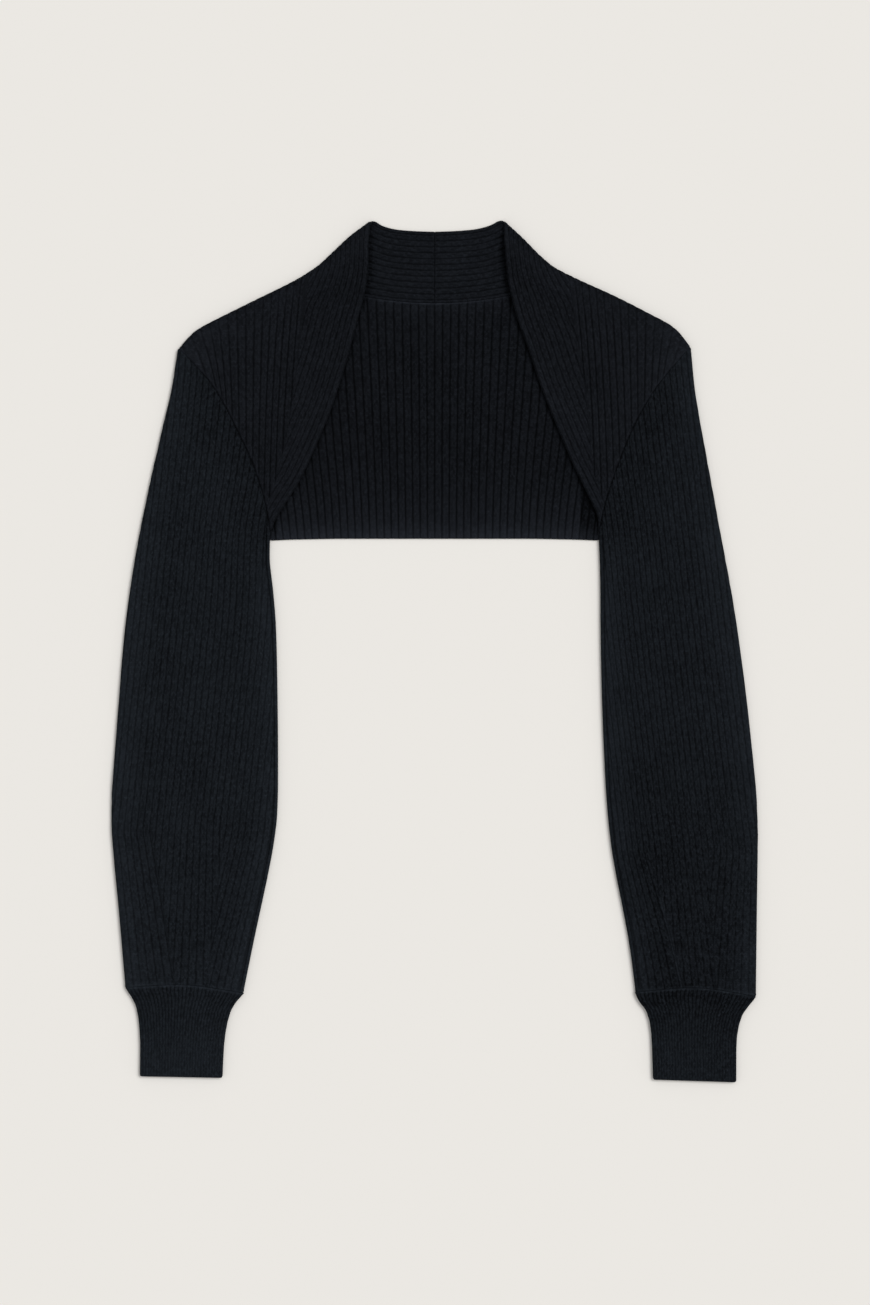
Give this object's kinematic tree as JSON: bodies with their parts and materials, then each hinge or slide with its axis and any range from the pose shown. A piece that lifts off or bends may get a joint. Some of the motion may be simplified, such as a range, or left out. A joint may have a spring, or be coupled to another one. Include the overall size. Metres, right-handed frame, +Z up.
{
  "type": "cropped cardigan bolero with a shawl collar",
  "caption": "Cropped open-front knitted bolero cardigan in wide rib with a shawl collar, full sleeves and fine-rib cuffs, laid flat with its front up.",
  "frame": {"origin": "on the surface it lies on, under the middle of the laid-out garment's outline", "axes": "+Y from the cuffs to the collar, +X to the right of someone looking down on the front, +Z up out of the surface"},
  "size_m": [0.582, 0.774, 0.005],
  "materials": {
    "wide_rib": "matt near-black wide rib knit",
    "fine_rib": "matt near-black fine one-by-one rib knit"
  },
  "bodies": {
    "root": {"back": "wide_rib", "front_left": "wide_rib", "front_right": "wide_rib", "sleeve_left": "wide_rib", "sleeve_right": "wide_rib", "cuff_left": "fine_rib", "cuff_right": "fine_rib"}
  },
  "joints": []
}
